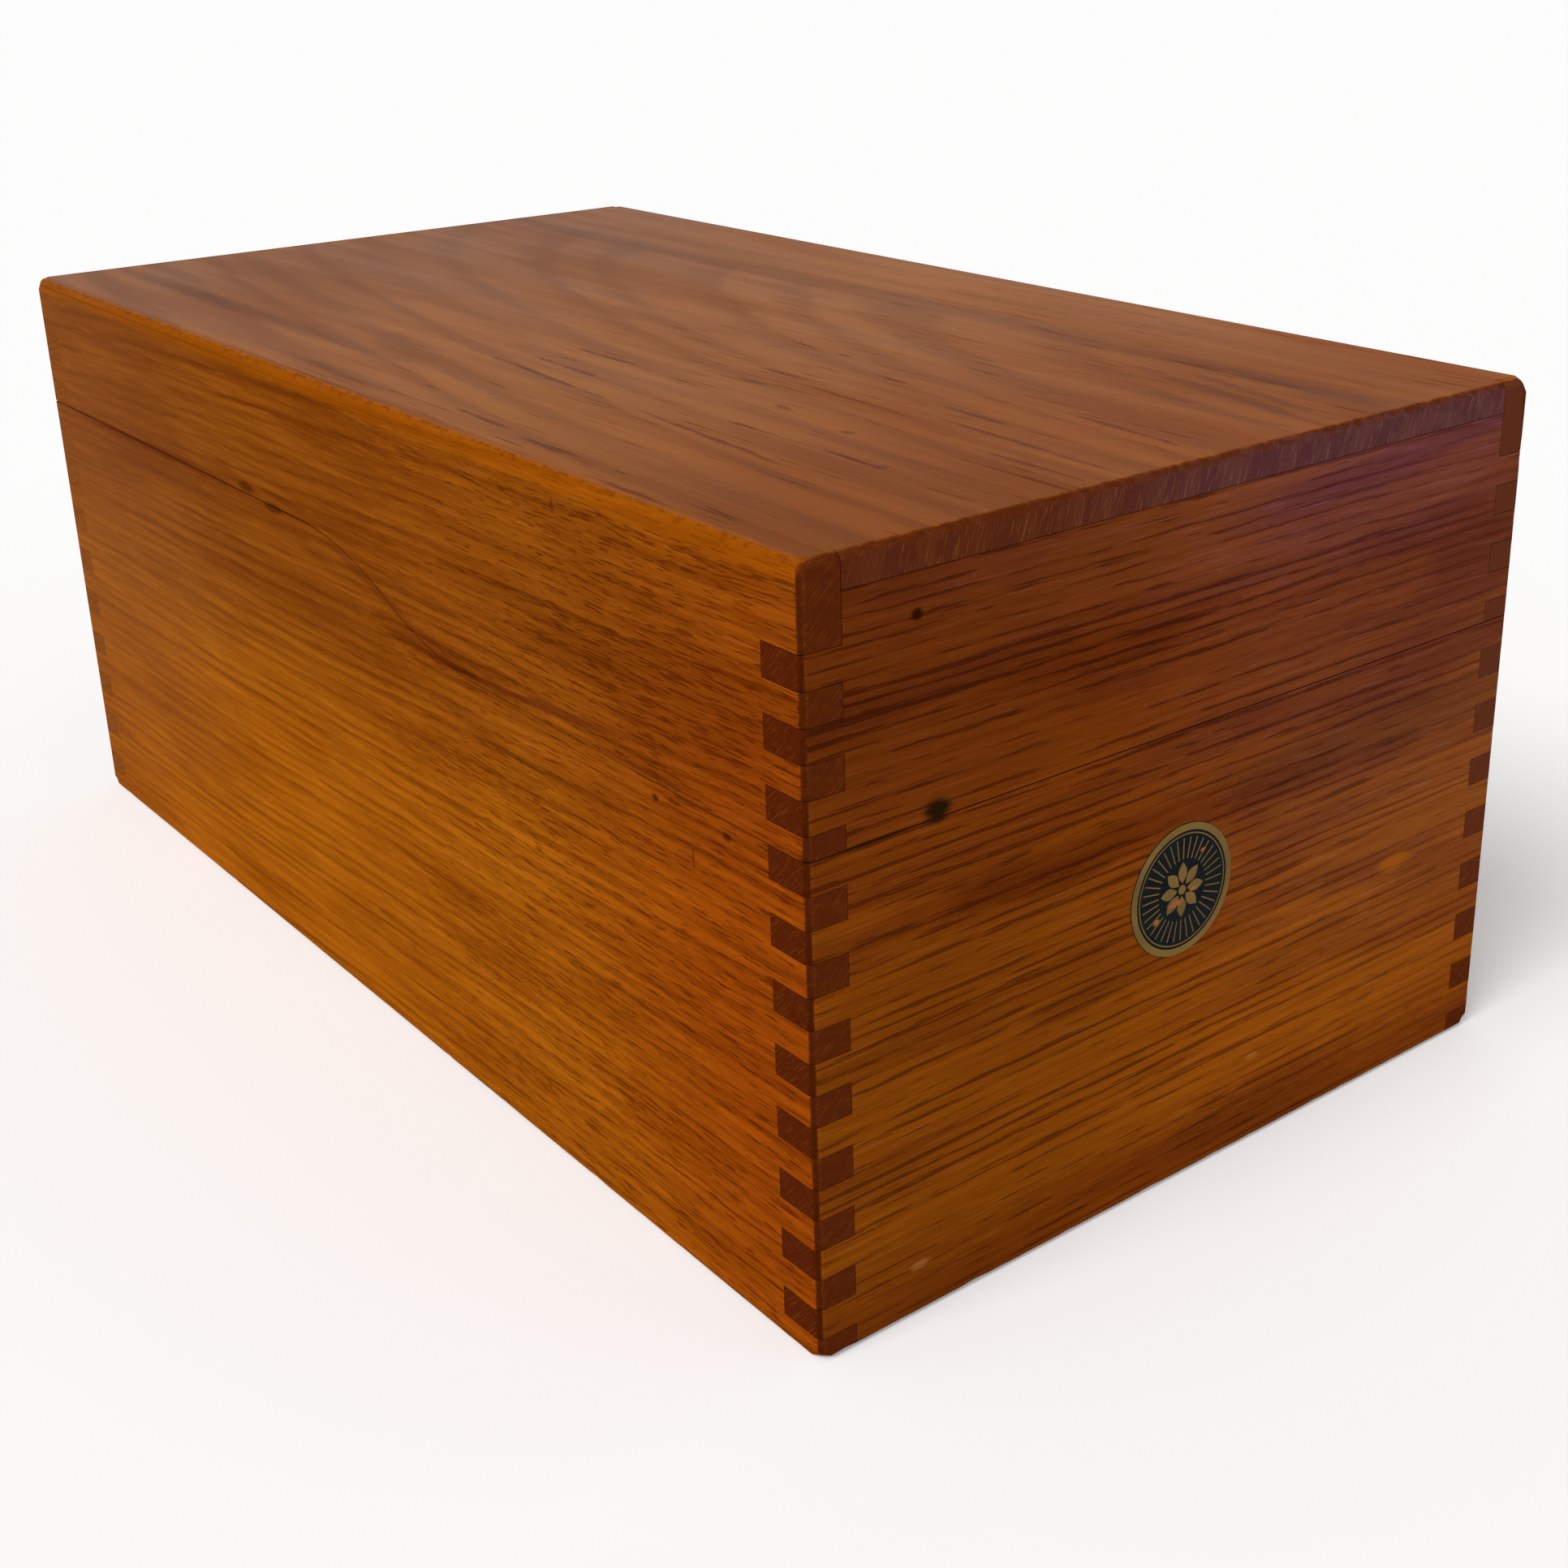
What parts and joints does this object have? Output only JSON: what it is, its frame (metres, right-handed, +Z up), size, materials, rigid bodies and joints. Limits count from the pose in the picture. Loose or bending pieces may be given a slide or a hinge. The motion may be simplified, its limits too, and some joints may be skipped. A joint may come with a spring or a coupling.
{
  "type": "index card box",
  "caption": "Varnished oak index card box with finger jointed corners, an ogee-sawn hinged lid and a card follower that slides along a floor track and tilts back.",
  "frame": {"origin": "centre of the underside, on the surface that the box stands on", "axes": "+Z up, the front with the badge faces -Y, the lid's hinge line runs along X at the back"},
  "size_m": [0.18, 0.3311, 0.144],
  "materials": {
    "oak_ends": "semi-gloss varnish over quarter-sawn oak",
    "oak_sides": "semi-gloss varnish over plain-sawn oak",
    "oak_top": "worn semi-gloss varnish over plain-sawn oak",
    "oak_bottom": "thin varnish over oak",
    "oak_block": "semi-gloss varnish over oak",
    "badge": "worn transfer with a gold rim",
    "hinge_brass": "dull polished",
    "screw_brass": "dull polished",
    "pin_steel": "bright drawn",
    "track_steel": "dull plated"
  },
  "bodies": {
    "base": {"base_front": "oak_ends", "base_back": "oak_ends", "base_left_side": "oak_sides", "base_right_side": "oak_sides", "base_bottom": "oak_bottom", "front_badge": "badge", "left_hinge_base_leaf": "hinge_brass", "right_hinge_base_leaf": "hinge_brass", "left_hinge_pin": "pin_steel", "right_hinge_pin": "pin_steel", "hinge_base_screws": "screw_brass", "follower_track": "track_steel", "track_tacks": "track_steel"},
    "lid": {"lid_front": "oak_ends", "lid_back": "oak_ends", "lid_left_side": "oak_sides", "lid_right_side": "oak_sides", "lid_top": "oak_top", "left_hinge_lid_leaf": "hinge_brass", "right_hinge_lid_leaf": "hinge_brass", "hinge_lid_screws": "screw_brass"},
    "shoe": {"follower_shoe": "track_steel", "follower_pivot_pin": "pin_steel"},
    "follower": {"follower_block": "oak_block", "follower_bracket": "track_steel", "bracket_screws": "screw_brass"}
  },
  "joints": [
    {"name": "lid_hinge", "type": "hinge", "parent": "base", "child": "lid", "pos_m": [0, 0.1638, 0.11155], "axis": [-1, 0, 0], "range_deg": [0, 100]},
    {"name": "follower_slide", "type": "slide", "parent": "base", "child": "shoe", "axis": [0, -1, 0], "range_m": [0, 0.246]},
    {"name": "follower_tilt", "type": "hinge", "parent": "shoe", "child": "follower", "pos_m": [0, 0.1317, 0.016], "axis": [-1, 0, 0], "range_deg": [0, 12]}
  ]
}
